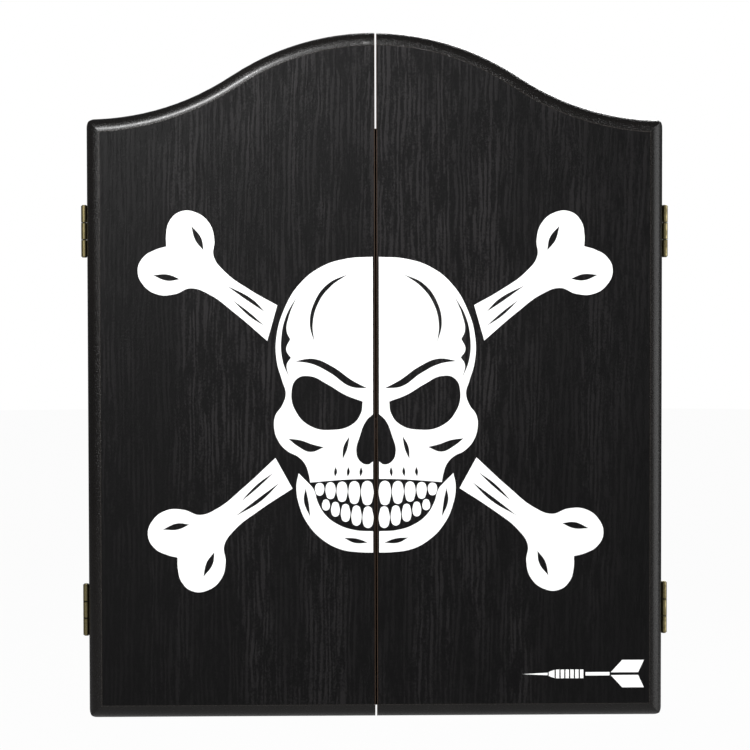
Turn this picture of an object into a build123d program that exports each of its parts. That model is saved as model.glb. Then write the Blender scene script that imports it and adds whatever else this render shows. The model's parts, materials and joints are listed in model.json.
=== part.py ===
"""Dart board cabinet: a shallow wall box with two arched doors on brass butt hinges.

Frame: +X right, +Y back to the wall, +Z up, in millimetres. The origin is the centre of the
four wall-screw holes on the cabinet's back face, so it is also the dart board's centre.
"""

import os
from math import atan, degrees

from build123d import *

os.makedirs("parts", exist_ok=True)

# ---------------------------------------------------------------- driving dimensions

# The pair of doors, seen together from the front
pair_width = 500.0
shoulder_height = 520.0
arch_rise = 75.0
door_thickness = 15.0
meeting_gap = 1.6
door_overhang_below = 8.0

# The round-over bit leaves a quarter round, and a small step up to the grained field
round_over = 12.0
quirk = 0.6
corner_radius = 9.0
meeting_corner_radius = 3.0

# The box behind the doors
box_width = 498.0
box_height = 505.0
box_depth = 72.0
board = 15.0
edge_ease = 1.0
back_thickness = 6.0
rebate = 7.5
rebate_clearance = 0.25

# Hinges: loose enough to turn, with both leaves lying flat when the door is shut
hinge_length = 44.0
hinge_knuckles = 3
knuckle_gap = 0.4
barrel_radius = 2.8
pin_radius = 1.45
pin_clearance = 0.05
leaf_thickness = 1.2
leaf_gap = 0.4
leaf_to_barrel = 0.3
hinge_axis_x = 253.0
hinge_leaf_inner_x = 236.0
leaf_corner_radius = 2.0
leaf_screw_inset = 6.0
leaf_screw_spread = 13.0
peen_radius = 2.1
peen_height = 0.7
peen_stand_off = 0.1
peen_round = 0.5
hinge_heights = {"upper": 163.0, "lower": -167.0}

# Fasteners
wall_hole_spacing = 400.0
wall_hole_radius = 2.75
dowel_radius = 4.0
dowel_length = 28.0
dowel_depth_in_side = 10.0
dowel_chamfer = 0.8
dowel_hole_extra = 1.0
panel_pin_length = 18.0
panel_pin_shank = 0.7
panel_pin_head = 1.4
panel_pin_head_height = 0.8
side_pin_heights = (70.0, 210.0)
end_pin_places = (-140.0, 0.0, 140.0)
glue_gap = 0.05

# Countersunk screws: length, core radius and head radius
BRACKET_SCREW = (5.5, 1.4, 2.7)
CATCH_SCREW = (21.0, 1.5, 3.0)
BOX_LEAF_SCREW = (14.0, 1.4, 2.55)
DOOR_LEAF_SCREW = (12.0, 1.4, 2.55)
RACK_SCREW = (31.0, 1.6, 3.4)
STRIKE_SCREW = (11.0, 1.4, 2.5)

# Directions that a fastener's head can face
FRONT = (0, -1, 0)
BACK = (0, 1, 0)
UP = (0, 0, 1)
DOWN = (0, 0, -1)

# A shape that hangs below its own plane
HANGING = (Align.CENTER, Align.CENTER, Align.MAX)

# ---------------------------------------------------------------- places worked out from them

half_pair = pair_width / 2
box_x = box_width / 2
box_z = box_height / 2
inside_x = box_x - board
inside_z = box_z - board
box_front = -box_depth
door_bottom = -box_z - door_overhang_below
shoulder_z = door_bottom + shoulder_height
door_back = box_front - 2 * leaf_thickness - leaf_gap
door_front = door_back - door_thickness
field_base = door_front + quirk
hinge_axis_y = (box_front + door_back) / 2

# Two equal arcs on each side of the arch, the lower one turned over, level at both ends
arch_turn = 2 * degrees(atan(arch_rise / half_pair))
arch_arc_radius = (half_pair**2 + arch_rise**2) / (4 * arch_rise)


def save(piece, name):
    """Label one sub-part and write it to its own STEP file."""
    piece.label = name
    export_step(piece, f"parts/{name}.step")


def facing(direction, places):
    """Locations at the places, with local +Z along the direction."""
    return [Plane(origin=place, z_dir=direction).location for place in places]


def both_signs(*values):
    """Each value, below and above zero."""
    return [sign * value for value in values for sign in (-1, 1)]


# ---------------------------------------------------------------- fasteners


def countersunk_screw(length, core, head, recess=True):
    """A wood screw with its flat head on z = 0 and its shank down -Z."""
    head_depth = head - core
    tip = 2 * core
    tip_end = 0.2 * core
    arm_width = 0.28 * head
    arm_length = 1.3 * head
    recess_depth = 0.6 * head_depth
    with BuildPart() as screw:
        Cone(core, head, head_depth, align=HANGING)
        with Locations((0, 0, -head_depth)):
            Cylinder(core, length - head_depth - tip, align=HANGING)
        with Locations((0, 0, tip - length)):
            Cone(tip_end, core, tip, align=HANGING)
        if recess:
            for across, along in ((arm_length, arm_width), (arm_width, arm_length)):
                Box(across, along, recess_depth, align=HANGING, mode=Mode.SUBTRACT)
    return screw.part


class Fasteners:
    """A group of like fasteners, and the slightly larger shape that clears their holes."""

    def __init__(self, shape, hole, locations):
        self.locations = locations
        self.hole = hole
        with BuildPart() as group:
            with Locations(*locations):
                add(shape)
        self.part = group.part

    def cut(self):
        """Cut the holes for the whole group out of the part being built."""
        with Locations(*self.locations):
            add(self.hole, mode=Mode.SUBTRACT)


def screws(size, locations):
    """Countersunk screws of one size on the given locations, heads on the locations' planes."""
    length, core, head = size
    shape = countersunk_screw(length, core, head)
    hole = countersunk_screw(length + glue_gap, core + glue_gap, head + glue_gap, recess=False)
    return Fasteners(shape, hole, locations)


# Dowels lie along X, two in each corner of the box
dowel_x = inside_x + dowel_depth_in_side - dowel_length / 2
dowel_places = [
    (x, y, z)
    for x in both_signs(dowel_x)
    for y in (-0.25 * box_depth, -0.75 * box_depth)
    for z in both_signs(box_z - board / 2)
]
with BuildPart() as dowel:
    Cylinder(dowel_radius - glue_gap, dowel_length, rotation=(0, 90, 0))
    chamfer(dowel.edges().filter_by(GeomType.CIRCLE), dowel_chamfer)
with BuildPart() as dowel_hole:
    Cylinder(dowel_radius, dowel_length + dowel_hole_extra, rotation=(0, 90, 0))
dowels = Fasteners(dowel.part, dowel_hole.part, [Location(place) for place in dowel_places])
save(dowels.part, "corner_dowels")

# Panel pins go through the back panel into the shoulder of the rebate
rebate_middle_x = inside_x + rebate / 2
rebate_middle_z = inside_z + rebate / 2
pin_places = [(x, 0, z) for x in both_signs(rebate_middle_x) for z in both_signs(*side_pin_heights)]
pin_places += [(x, 0, z) for x in end_pin_places for z in both_signs(rebate_middle_z)]


def panel_pin(gap):
    """A panel pin with its head on z = 0, all round larger by the gap."""
    with BuildPart() as pin:
        Cylinder(panel_pin_head + gap, panel_pin_head_height, align=HANGING)
        Cylinder(panel_pin_shank + gap, panel_pin_length + gap, align=HANGING)
    return pin.part


panel_pins = Fasteners(panel_pin(0), panel_pin(glue_gap), facing(BACK, pin_places))
save(panel_pins.part, "back_panel_pins")

# ---------------------------------------------------------------- dart board bracket

bracket_sheet = 1.5
bracket_height = 44.0
bracket_stand_off = 10.0
bracket_web = 40.0
bracket_bend_radius = 2.25
bracket_width = 76.0
bracket_slot = 6.4
bracket_slot_mouth = 15.0
bracket_slot_neck_z = 12.0
bracket_screw_x = 29.0
bracket_screw_z = 13.0
foot_face = -back_thickness - bracket_sheet
foot_middle = -back_thickness - bracket_sheet / 2
web_front = -back_thickness - bracket_stand_off
web_middle = web_front + bracket_sheet / 2
leg_x = (bracket_web - bracket_sheet) / 2

bracket_screw_places = [
    (x, foot_face, z) for x in both_signs(bracket_screw_x) for z in both_signs(bracket_screw_z)
]
bracket_screws = screws(BRACKET_SCREW, facing(FRONT, bracket_screw_places))
save(bracket_screws.part, "board_bracket_screws")

with BuildPart() as board_bracket:
    with BuildSketch(Plane.XY.offset(-bracket_height / 2)):
        with BuildLine():
            FilletPolyline(
                (-bracket_width / 2, foot_middle),
                (-leg_x, foot_middle),
                (-leg_x, web_middle),
                (leg_x, web_middle),
                (leg_x, foot_middle),
                (bracket_width / 2, foot_middle),
                radius=bracket_bend_radius,
            )
        trace(line_width=bracket_sheet)
    extrude(amount=bracket_height)
    with BuildSketch(Plane.XZ.offset(-web_front)):
        Circle(bracket_slot / 2)
        with Locations((0, bracket_height / 4)):
            Rectangle(bracket_slot, bracket_height / 2)
        with BuildLine():
            Polyline(
                (-bracket_slot / 2, bracket_slot_neck_z),
                (-bracket_slot_mouth / 2, bracket_height / 2),
                (bracket_slot_mouth / 2, bracket_height / 2),
                (bracket_slot / 2, bracket_slot_neck_z),
                close=True,
            )
        make_face()
    extrude(amount=-2 * bracket_sheet, mode=Mode.SUBTRACT)
    bracket_screws.cut()
save(board_bracket.part, "board_bracket")

# ---------------------------------------------------------------- magnetic catches

catch_width = 60.0
catch_depth = 16.0
catch_height = 12.0
catch_stands_proud = 1.0
pole_stands_proud = 0.45
catch_front = box_front - catch_stands_proud
pole_front = catch_front - pole_stands_proud
pocket_x = 13.0
pocket_width = 20.4
pocket_depth = 12.0
pocket_height = 8.2
catch_corner_radius = 1.5
magnet_width = 20.0
magnet_depth = 10.5
magnet_thickness = 4.8
magnet_clearance = 0.5
pole_width = 19.8
pole_depth = 12.15
pole_thickness = 1.6
catch_screw_x = 26.5


def magnetic_catch(level, sign):
    """A double catch under the top board (sign 1) or on the bottom board (sign -1)."""
    middle_z = sign * (inside_z - catch_height / 2)
    screw_face = sign * (inside_z - catch_height)
    head_side = DOWN if sign > 0 else UP
    places = [(x, catch_front + catch_depth / 2, screw_face) for x in both_signs(catch_screw_x)]
    catch_screws = screws(CATCH_SCREW, facing(head_side, places))
    save(catch_screws.part, f"{level}_catch_screws")

    with BuildPart() as housing:
        with Locations((0, catch_front + catch_depth / 2, middle_z)):
            Box(catch_width, catch_depth, catch_height)
        fillet(housing.edges().filter_by(Axis.Y), catch_corner_radius)
        with Locations(*[(x, catch_front, middle_z) for x in both_signs(pocket_x)]):
            Box(pocket_width, 2 * pocket_depth, pocket_height, mode=Mode.SUBTRACT)
        catch_screws.cut()
    save(housing.part, f"{level}_catch_housing")

    magnet_back = catch_front + pocket_depth - magnet_clearance
    with BuildPart() as magnets:
        with Locations(*[(x, magnet_back - magnet_depth / 2, middle_z) for x in both_signs(pocket_x)]):
            Box(magnet_width, magnet_depth, magnet_thickness)
    save(magnets.part, f"{level}_catch_magnets")

    pole_middle_y = pole_front + pole_depth / 2
    pole_heights = [middle_z + dz for dz in both_signs((magnet_thickness + pole_thickness) / 2)]
    with BuildPart() as poles:
        with Locations(*[(x, pole_middle_y, z) for x in both_signs(pocket_x) for z in pole_heights]):
            Box(pole_width, pole_depth, pole_thickness)
    save(poles.part, f"{level}_catch_pole_plates")
    return catch_screws


upper_catch_screws = magnetic_catch("upper", 1)
lower_catch_screws = magnetic_catch("lower", -1)

# ---------------------------------------------------------------- hinges

leaf_edge_x = hinge_axis_x - barrel_radius - leaf_to_barrel
knuckle_pitch = (hinge_length + knuckle_gap) / hinge_knuckles
knuckle_length = knuckle_pitch - knuckle_gap
leaf_screw_x = box_x - leaf_screw_inset


def leaf_screw_places(side, y):
    """Screw places of both hinges on one side of the cabinet, on the plane y."""
    return [
        (side * leaf_screw_x, y, height + dz)
        for height in hinge_heights.values()
        for dz in both_signs(leaf_screw_spread)
    ]


def hinge_leaf(side, height, outer_face, first_knuckle, leaf_screws):
    """One leaf lying on the plane y = outer_face, with every other knuckle of the barrel."""
    inward = 1 if outer_face < hinge_axis_y else -1
    leaf_middle = outer_face + inward * leaf_thickness / 2
    leaf_middle_x = side * (leaf_edge_x + hinge_leaf_inner_x) / 2
    tongue_middle_x = side * (leaf_edge_x + hinge_axis_x) / 2
    lowest = height - hinge_length / 2 + knuckle_length / 2
    heights = [lowest + count * knuckle_pitch for count in range(first_knuckle, hinge_knuckles, 2)]
    with BuildPart() as leaf:
        with Locations((leaf_middle_x, leaf_middle, height)):
            Box(leaf_edge_x - hinge_leaf_inner_x, leaf_thickness, hinge_length)
        inner_edges = leaf.edges().filter_by(Axis.Y).sort_by(Axis.X, reverse=side < 0)[:2]
        fillet(inner_edges, leaf_corner_radius)
        with Locations(*[(tongue_middle_x, leaf_middle, z) for z in heights]):
            Box(hinge_axis_x - leaf_edge_x, leaf_thickness, knuckle_length)
        with Locations(*[(side * hinge_axis_x, hinge_axis_y, z) for z in heights]):
            Cylinder(barrel_radius, knuckle_length)
            Cylinder(pin_radius + pin_clearance, knuckle_length, mode=Mode.SUBTRACT)
        leaf_screws.cut()
    return leaf.part


def hinge_pin(side, height):
    """The pin through a barrel, peened over at both ends."""
    peen_middle = (hinge_length + peen_height) / 2 + peen_stand_off
    peens = [(side * hinge_axis_x, hinge_axis_y, height + dz) for dz in both_signs(peen_middle)]
    with BuildPart() as pin:
        with Locations((side * hinge_axis_x, hinge_axis_y, height)):
            Cylinder(pin_radius, hinge_length + peen_height)
        with Locations(*peens):
            Cylinder(peen_radius, peen_height)
        rims = pin.edges().filter_by(GeomType.CIRCLE).sort_by(Axis.Z)
        fillet([rims[0], rims[-1]], peen_round)
    return pin.part


box_leaf_screw_places = leaf_screw_places(-1, box_front - leaf_thickness)
box_leaf_screw_places += leaf_screw_places(1, box_front - leaf_thickness)
box_leaf_screws = screws(BOX_LEAF_SCREW, facing(FRONT, box_leaf_screw_places))
save(box_leaf_screws.part, "box_leaf_screws")

door_leaf_screws = {}
for name, side in (("left", -1), ("right", 1)):
    places = leaf_screw_places(side, door_back + leaf_thickness)
    door_leaf_screws[name] = screws(DOOR_LEAF_SCREW, facing(BACK, places))
    save(door_leaf_screws[name].part, f"{name}_door_leaf_screws")
    for level, height in hinge_heights.items():
        hinge = f"{name}_{level}_hinge"
        save(hinge_leaf(side, height, box_front, 0, box_leaf_screws), f"{hinge}_box_leaf")
        save(hinge_leaf(side, height, door_back, 1, door_leaf_screws[name]), f"{hinge}_door_leaf")
        save(hinge_pin(side, height), f"{hinge}_pin")

# ---------------------------------------------------------------- box

box_middle_y = -box_depth / 2


def side_panel(side):
    """One upright board of the box, full height, with a stopped rebate for the back panel."""
    with BuildPart() as panel:
        with Locations((side * (box_x - board / 2), box_middle_y, 0)):
            Box(board, box_depth, box_height)
        outer_face = panel.faces().sort_by(Axis.X, reverse=side > 0)[0]
        fillet(outer_face.edges(), edge_ease)
        with Locations((side * inside_x, 0, 0)):
            Box(2 * rebate, 2 * back_thickness, 2 * (inside_z + rebate), mode=Mode.SUBTRACT)
        dowels.cut()
        panel_pins.cut()
        box_leaf_screws.cut()
    return panel.part


def end_panel(sign, catch_screws):
    """The top board (sign 1) or the bottom board (sign -1), between the two sides."""
    with BuildPart() as panel:
        with Locations((0, box_middle_y, sign * (box_z - board / 2))):
            Box(2 * inside_x, box_depth, board)
        outer_face = panel.faces().sort_by(Axis.Z, reverse=sign > 0)[0]
        fillet(outer_face.edges().filter_by(Axis.X), edge_ease)
        with Locations((0, 0, sign * inside_z)):
            Box(2 * inside_x, 2 * back_thickness, 2 * rebate, mode=Mode.SUBTRACT)
        dowels.cut()
        panel_pins.cut()
        catch_screws.cut()
    return panel.part


save(side_panel(-1), "side_panel_left")
save(side_panel(1), "side_panel_right")
save(end_panel(1, upper_catch_screws), "top_panel")
save(end_panel(-1, lower_catch_screws), "bottom_panel")

with BuildPart() as back_panel:
    with Locations((0, -back_thickness / 2, 0)):
        Box(
            2 * (inside_x + rebate - rebate_clearance),
            back_thickness,
            2 * (inside_z + rebate - rebate_clearance),
        )
    with Locations(Plane.XZ.location):
        with GridLocations(wall_hole_spacing, wall_hole_spacing, 2, 2):
            Hole(wall_hole_radius)
    panel_pins.cut()
    bracket_screws.cut()
save(back_panel.part, "back_panel")

# ---------------------------------------------------------------- fittings inside the doors

scoreboard_x = 126.0
scoreboard_z = 82.0
scoreboard_width = 180.0
scoreboard_height = 262.0
scoreboard_thickness = 3.0
trim_width = 10.0
trim_thickness = 5.0
trim_chamfer = 1.5
mitre_gap = 0.1
ledge_x = 78.0
ledge_width = 84.0
ledge_height = 10.0
ledge_depth = 14.0
ledge_nose_radius = 2.0
ledge_groove_radius = 4.0
ledge_groove_length = 72.0
ledge_groove_rise = 1.0

rack_x = 172.0
rack_z = -193.0
rack_width = 88.0
rack_depth = 20.0
rack_height = 14.0
dart_hole_radius = 4.5
dart_hole_spacing = 28.0
rack_corner_radius = 8.0
rack_top_chamfer = 1.0

strike_width = 22.0
strike_height = 11.0
strike_thickness = 1.2
strike_corner_radius = 2.5
strike_z = inside_z - catch_height / 2

door_face = Plane.XZ.offset(-door_back)


def scoreboard(side):
    """A thin writing board glued to the inside of a door."""
    with BuildPart() as panel:
        with Locations((side * scoreboard_x, door_back + scoreboard_thickness / 2, scoreboard_z)):
            Box(scoreboard_width, scoreboard_thickness, scoreboard_height)
    return panel.part


def scoreboard_trim(side):
    """Four mitred strips around a scoreboard."""
    inner_x = scoreboard_width / 2 + mitre_gap
    inner_z = scoreboard_height / 2 + mitre_gap
    cut_length = 4 * trim_width
    with BuildPart() as frame:
        with BuildSketch(door_face):
            with Locations((side * scoreboard_x, scoreboard_z)):
                Rectangle(2 * (inner_x + trim_width), 2 * (inner_z + trim_width))
                Rectangle(2 * inner_x, 2 * inner_z, mode=Mode.SUBTRACT)
            for across, up in ((1, 1), (-1, 1), (-1, -1), (1, -1)):
                corner = (side * scoreboard_x + across * inner_x, scoreboard_z + up * inner_z)
                with Locations(corner):
                    Rectangle(cut_length, mitre_gap, rotation=45 * across * up, mode=Mode.SUBTRACT)
        extrude(amount=-trim_thickness)
        fronts = frame.faces().group_by(Axis.Y)[-1]
        long_edges = fronts.edges().filter_by(lambda edge: edge.length > cut_length)
        chamfer(long_edges, trim_chamfer)
    return frame.part


def chalk_ledge(side):
    """A ledge under the scoreboard's frame, with a groove that chalk lies in."""
    top = scoreboard_z - scoreboard_height / 2 - trim_width - 2 * mitre_gap
    groove_y = door_back + 0.6 * ledge_depth
    with BuildPart() as ledge:
        with Locations((side * ledge_x, door_back + ledge_depth / 2, top - ledge_height / 2)):
            Box(ledge_width, ledge_depth, ledge_height)
        fillet(ledge.edges().filter_by(Axis.X).group_by(Axis.Y)[-1], ledge_nose_radius)
        with Locations((side * ledge_x, groove_y, top + ledge_groove_rise)):
            Cylinder(
                ledge_groove_radius, ledge_groove_length, rotation=(0, 90, 0), mode=Mode.SUBTRACT
            )
    return ledge.part


def rack_screws(side):
    """Two long screws through a dart rack into the door."""
    face_y = door_back + rack_depth
    places = [(side * rack_x + dx, face_y, rack_z) for dx in both_signs(dart_hole_spacing / 2)]
    return screws(RACK_SCREW, facing(BACK, places))


def dart_rack(side, fasteners):
    """A small block with three upright holes that darts stand in."""
    with BuildPart() as rack:
        with Locations((side * rack_x, door_back + rack_depth / 2, rack_z)):
            Box(rack_width, rack_depth, rack_height)
        outer_corners = rack.edges().filter_by(Axis.Z).group_by(Axis.Y)[-1]
        fillet(outer_corners, rack_corner_radius)
        chamfer(rack.faces().sort_by(Axis.Z)[-1].edges(), rack_top_chamfer)
        with Locations((side * rack_x, door_back + rack_depth / 2, rack_z)):
            with GridLocations(dart_hole_spacing, 1, 3, 1):
                Hole(dart_hole_radius)
        fasteners.cut()
    return rack.part


def strike_screws(side):
    """One short screw through each of a door's two strike plates."""
    places = [(side * pocket_x, door_back + strike_thickness, z) for z in both_signs(strike_z)]
    return screws(STRIKE_SCREW, facing(BACK, places))


def strike_plates(side, fasteners):
    """Two steel plates that the magnetic catches hold."""
    middle_y = door_back + strike_thickness / 2
    with BuildPart() as plates:
        with Locations(*[(side * pocket_x, middle_y, z) for z in both_signs(strike_z)]):
            Box(strike_width, strike_thickness, strike_height)
        fillet(plates.edges().filter_by(Axis.Y), strike_corner_radius)
        fasteners.cut()
    return plates.part


# ---------------------------------------------------------------- doors


# The outline of both doors together: straight sides and foot, and the double-curved arch
with BuildSketch() as pair_outline:
    with BuildLine():
        crest_centre = (0, shoulder_z + arch_rise - arch_arc_radius)
        crest = CenterArc(crest_centre, arch_arc_radius, 90 - arch_turn, 2 * arch_turn)
        right_flank = JernArc(crest @ 0, -(crest % 0), arch_arc_radius, arch_turn)
        left_flank = JernArc(crest @ 1, crest % 1, arch_arc_radius, -arch_turn)
        Polyline(left_flank @ 1, (-half_pair, door_bottom), (half_pair, door_bottom), right_flank @ 1)
    make_face()

with BuildPart() as routed_pair:
    with BuildSketch(door_face):
        add(pair_outline.sketch)
    extrude(amount=door_thickness - quirk)
    fillet(routed_pair.faces().sort_by(Axis.Y)[0].edges(), round_over)
    with BuildSketch(door_face.offset(door_thickness - quirk)):
        add(pair_outline.sketch)
        offset(amount=-(round_over + quirk), kind=Kind.INTERSECTION)
    extrude(amount=quirk)


def door_panel(side, *fasteners):
    """One door, cut from the pair along the meeting edge, with its corners eased."""
    width = half_pair - meeting_gap / 2
    tall = 2 * (shoulder_height + arch_rise)
    with BuildPart() as panel:
        add(routed_pair.part)
        with BuildSketch(door_face) as outline:
            add(pair_outline.sketch)
            with Locations((side * (half_pair - width / 2), 0)):
                Rectangle(width, tall, mode=Mode.INTERSECT)
            columns = outline.vertices().sort_by(Axis.X, reverse=side < 0)
            outer_corners = columns[-2:]
            meeting_foot = columns[:2].sort_by(Axis.Y)[0]
            fillet(outer_corners, corner_radius)
            fillet(meeting_foot, meeting_corner_radius)
        extrude(amount=door_thickness, mode=Mode.INTERSECT)
        for group in fasteners:
            group.cut()
    return panel.part


for name, side in (("left", -1), ("right", 1)):
    rack_fasteners = rack_screws(side)
    strike_fasteners = strike_screws(side)
    save(scoreboard(side), f"{name}_scoreboard")
    save(scoreboard_trim(side), f"{name}_scoreboard_trim")
    save(chalk_ledge(side), f"{name}_chalk_ledge")
    save(rack_fasteners.part, f"{name}_dart_rack_screws")
    save(dart_rack(side, rack_fasteners), f"{name}_dart_rack")
    save(strike_fasteners.part, f"{name}_strike_screws")
    save(strike_plates(side, strike_fasteners), f"{name}_strike_plates")
    panel = door_panel(side, door_leaf_screws[name], rack_fasteners, strike_fasteners)
    save(panel, f"{name}_door_panel")
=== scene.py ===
# %% [markdown]
# # A dart board cabinet, finished
# The cabinet's boards, hinges and fittings come ready made from its CAD model, each in its place.
# This lesson dresses them: it sets up a small studio, mixes one material for each finish on the
# real cabinet, and cuts the thin printed pieces that a CAD model leaves out. Everything is in
# metres, with +X to the right, +Y towards the wall and +Z up. The doors look along -Y.

# %% Load the cabinet
import json
from math import cos, pi, radians, sin

import bmesh
import bpy
from mathutils import Euler, Matrix, Vector


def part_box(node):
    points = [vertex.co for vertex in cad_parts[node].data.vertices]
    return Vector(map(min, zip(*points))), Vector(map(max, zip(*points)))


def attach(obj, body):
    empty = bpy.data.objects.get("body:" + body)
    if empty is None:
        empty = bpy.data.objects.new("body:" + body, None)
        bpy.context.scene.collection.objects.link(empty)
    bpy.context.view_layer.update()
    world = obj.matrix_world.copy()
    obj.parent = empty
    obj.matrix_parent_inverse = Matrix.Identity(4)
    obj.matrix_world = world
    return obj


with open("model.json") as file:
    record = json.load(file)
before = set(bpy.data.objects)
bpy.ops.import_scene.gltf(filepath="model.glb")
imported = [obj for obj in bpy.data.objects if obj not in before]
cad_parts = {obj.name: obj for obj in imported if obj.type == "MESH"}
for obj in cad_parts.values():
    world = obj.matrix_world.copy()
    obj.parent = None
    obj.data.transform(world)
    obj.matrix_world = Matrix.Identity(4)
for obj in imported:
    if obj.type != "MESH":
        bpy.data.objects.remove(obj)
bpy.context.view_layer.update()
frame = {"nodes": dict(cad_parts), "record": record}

nodes = frame["nodes"]
print("pieces of the cabinet:", len(nodes))

# %% [markdown]
# ## Where things are
# A finish or a print has to line up with the board that it lies on. Instead of typing places
# in, we ask the model for the box of a few pieces and name the edges that we need.

# %% Places taken from the model
MM = 0.001
door_low, door_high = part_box("right_door_panel")
board_low, board_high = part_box("right_scoreboard")
DOOR_FRONT = door_low.y
DOOR_BACK = door_high.y
DOOR_FOOT = door_low.z
DOOR_OUTER = door_high.x
MEETING_EDGE = door_low.x
WRITING_FACE = board_high.y
# The router leaves the grained field standing this far in front of the rounded edge
QUIRK = 0.6 * MM
ROUNDED_START = DOOR_FRONT + QUIRK
print("door front at y =", round(DOOR_FRONT, 4), "and foot at z =", round(DOOR_FOOT, 4))

# %% [markdown]
# ## The camera
# A long lens keeps the doors' sides nearly parallel. The camera stands a little to the left of
# the middle, just above the centre of the board, and looks very slightly down.

# %% Camera
CAMERA_PLACE = (-0.0296, -1.6203, 0.0759)
LOOKS_DOWN = radians(1.42)
LOOKS_RIGHT = radians(1.08)
LEANS = radians(0.085)
camera_data = bpy.data.cameras.new("camera")
camera_data.lens = 85
camera_data.sensor_width = 36
camera = bpy.data.objects.new("camera", camera_data)
camera.location = CAMERA_PLACE
camera.rotation_euler = Euler((pi / 2 - LOOKS_DOWN, LEANS, -LOOKS_RIGHT))
bpy.context.scene.collection.objects.link(camera)
bpy.context.scene.camera = camera
print("lens:", camera_data.lens, "mm")

# %% [markdown]
# ## The room
# The cabinet is black, so what we see of it is mostly what it reflects. A room that is white to
# the camera but dim to the boards keeps the background clean, while the lamps still shape the
# rounded edges. One Light Path node in the world's shader tells the two apart.

# %% White room
world = bpy.data.worlds.new("white_room")
world.use_nodes = True
bpy.context.scene.world = world
room = world.node_tree
room.nodes.clear()
seen = room.nodes.new("ShaderNodeBackground")
seen.inputs["Color"].default_value = (1, 1, 1, 1)
seen.inputs["Strength"].default_value = 1.0
felt = room.nodes.new("ShaderNodeBackground")
felt.inputs["Color"].default_value = (0.93, 0.96, 1, 1)
felt.inputs["Strength"].default_value = 0.08
light_path = room.nodes.new("ShaderNodeLightPath")
either = room.nodes.new("ShaderNodeMixShader")
room_output = room.nodes.new("ShaderNodeOutputWorld")
room.links.new(light_path.outputs["Is Camera Ray"], either.inputs[0])
room.links.new(felt.outputs[0], either.inputs[1])
room.links.new(seen.outputs[0], either.inputs[2])
room.links.new(either.outputs[0], room_output.inputs["Surface"])
bpy.context.scene.view_settings.view_transform = "Standard"
print("world:", world.name)

# %% [markdown]
# ## The lamps
# Three softboxes light the cabinet. The key lamp stands high in front, on the left: it draws the
# bright line along the arch and makes the left door a little lighter than the right one. A wide
# lamp far to the right fills the right-hand edge, and one behind the cabinet shows its back.


# %% Soft lamps
def soft_lamp(name, place, target, width, height, watts):
    """A rectangular softbox at a place, turned to face a target."""
    data = bpy.data.lights.new(name, "AREA")
    data.shape = "RECTANGLE"
    data.size = width
    data.size_y = height
    data.energy = watts
    lamp = bpy.data.objects.new(name, data)
    lamp.location = place
    towards = Vector(target) - Vector(place)
    lamp.rotation_euler = towards.to_track_quat("-Z", "Y").to_euler()
    bpy.context.scene.collection.objects.link(lamp)
    print(name, "gives", watts, "W")


soft_lamp("key_lamp", (-0.78, -1.69, 1.17), (0.05, 0, 0), 0.46, 0.46, 64)
soft_lamp("right_lamp", (1.8, -0.62, 0.15), (0.15, 0, 0), 1.5, 2.0, 25)
soft_lamp("rear_lamp", (0.7, 1.9, 1.3), (0, 0, 0), 1.2, 1.2, 45)

# %% [markdown]
# ## Adding nodes
# Materials are graphs of nodes, and building them one call at a time is long-winded. These
# helpers add a node with its settings, fill its sockets with numbers or with other sockets, and
# do the few sums that every finish needs.


# %% Node helpers
def add_node(tree, kind, sockets=None, **settings):
    """A node with its settings, and its sockets given numbers or linked to other sockets."""
    node = tree.nodes.new(kind)
    for name, value in settings.items():
        setattr(node, name, value)
    for name, value in (sockets or {}).items():
        if isinstance(value, bpy.types.NodeSocket):
            tree.links.new(value, node.inputs[name])
        else:
            node.inputs[name].default_value = value
    return node


def calculate(tree, operation, first, second=0.0, clamp=False):
    """One sum, as a Math node."""
    node = add_node(tree, "ShaderNodeMath", {0: first, 1: second}, operation=operation, use_clamp=clamp)
    return node.outputs[0]


def times(tree, first, second):
    """The product of two values."""
    return calculate(tree, "MULTIPLY", first, second)


def distance_from(tree, value, place):
    """How far a coordinate is from a place, on either side of it."""
    return calculate(tree, "ABSOLUTE", calculate(tree, "SUBTRACT", value, place))


def fade(tree, value, start, end, low=0.0, high=1.0):
    """A smooth change from low to high while the value goes from start to end."""
    sockets = {"Value": value, "From Min": start, "From Max": end, "To Min": low, "To Max": high}
    return add_node(tree, "ShaderNodeMapRange", sockets, interpolation_type="SMOOTHSTEP").outputs["Result"]


def blend_colour(tree, factor, first, second):
    """One colour turning into another."""
    node = add_node(tree, "ShaderNodeMix", {0: factor, 6: first, 7: second}, data_type="RGBA")
    return node.outputs[2]


# %% [markdown]
# ## Patterns
# Two things serve every finish: coordinates that are scaled differently along each direction,
# and cloudy noise. Together they give anything from slow patches to fibres that are much longer
# than they are wide.


# %% Pattern helpers
def stretched(tree, vector, scale, shift=(0, 0, 0)):
    """A vector scaled differently along each direction, so that a pattern runs along a board."""
    sockets = {"Vector": vector, "Scale": scale, "Location": shift}
    return add_node(tree, "ShaderNodeMapping", sockets).outputs[0]


def turned(tree, vector, turn, shift=(0, 0, 0)):
    """A vector turned about Y, so that a pattern that runs up a board can run along it."""
    sockets = {"Vector": vector, "Rotation": (0, turn, 0), "Location": shift}
    return add_node(tree, "ShaderNodeMapping", sockets).outputs[0]


def noise(tree, vector, scale, detail=3.0, roughness=0.5):
    """Cloudy noise from 0 to 1."""
    sockets = {"Vector": vector, "Scale": scale, "Detail": detail, "Roughness": roughness}
    return add_node(tree, "ShaderNodeTexNoise", sockets).outputs[0]


def coordinates(tree, vector):
    """The X, Y and Z of a vector."""
    return add_node(tree, "ShaderNodeSeparateXYZ", {0: vector}).outputs


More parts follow.
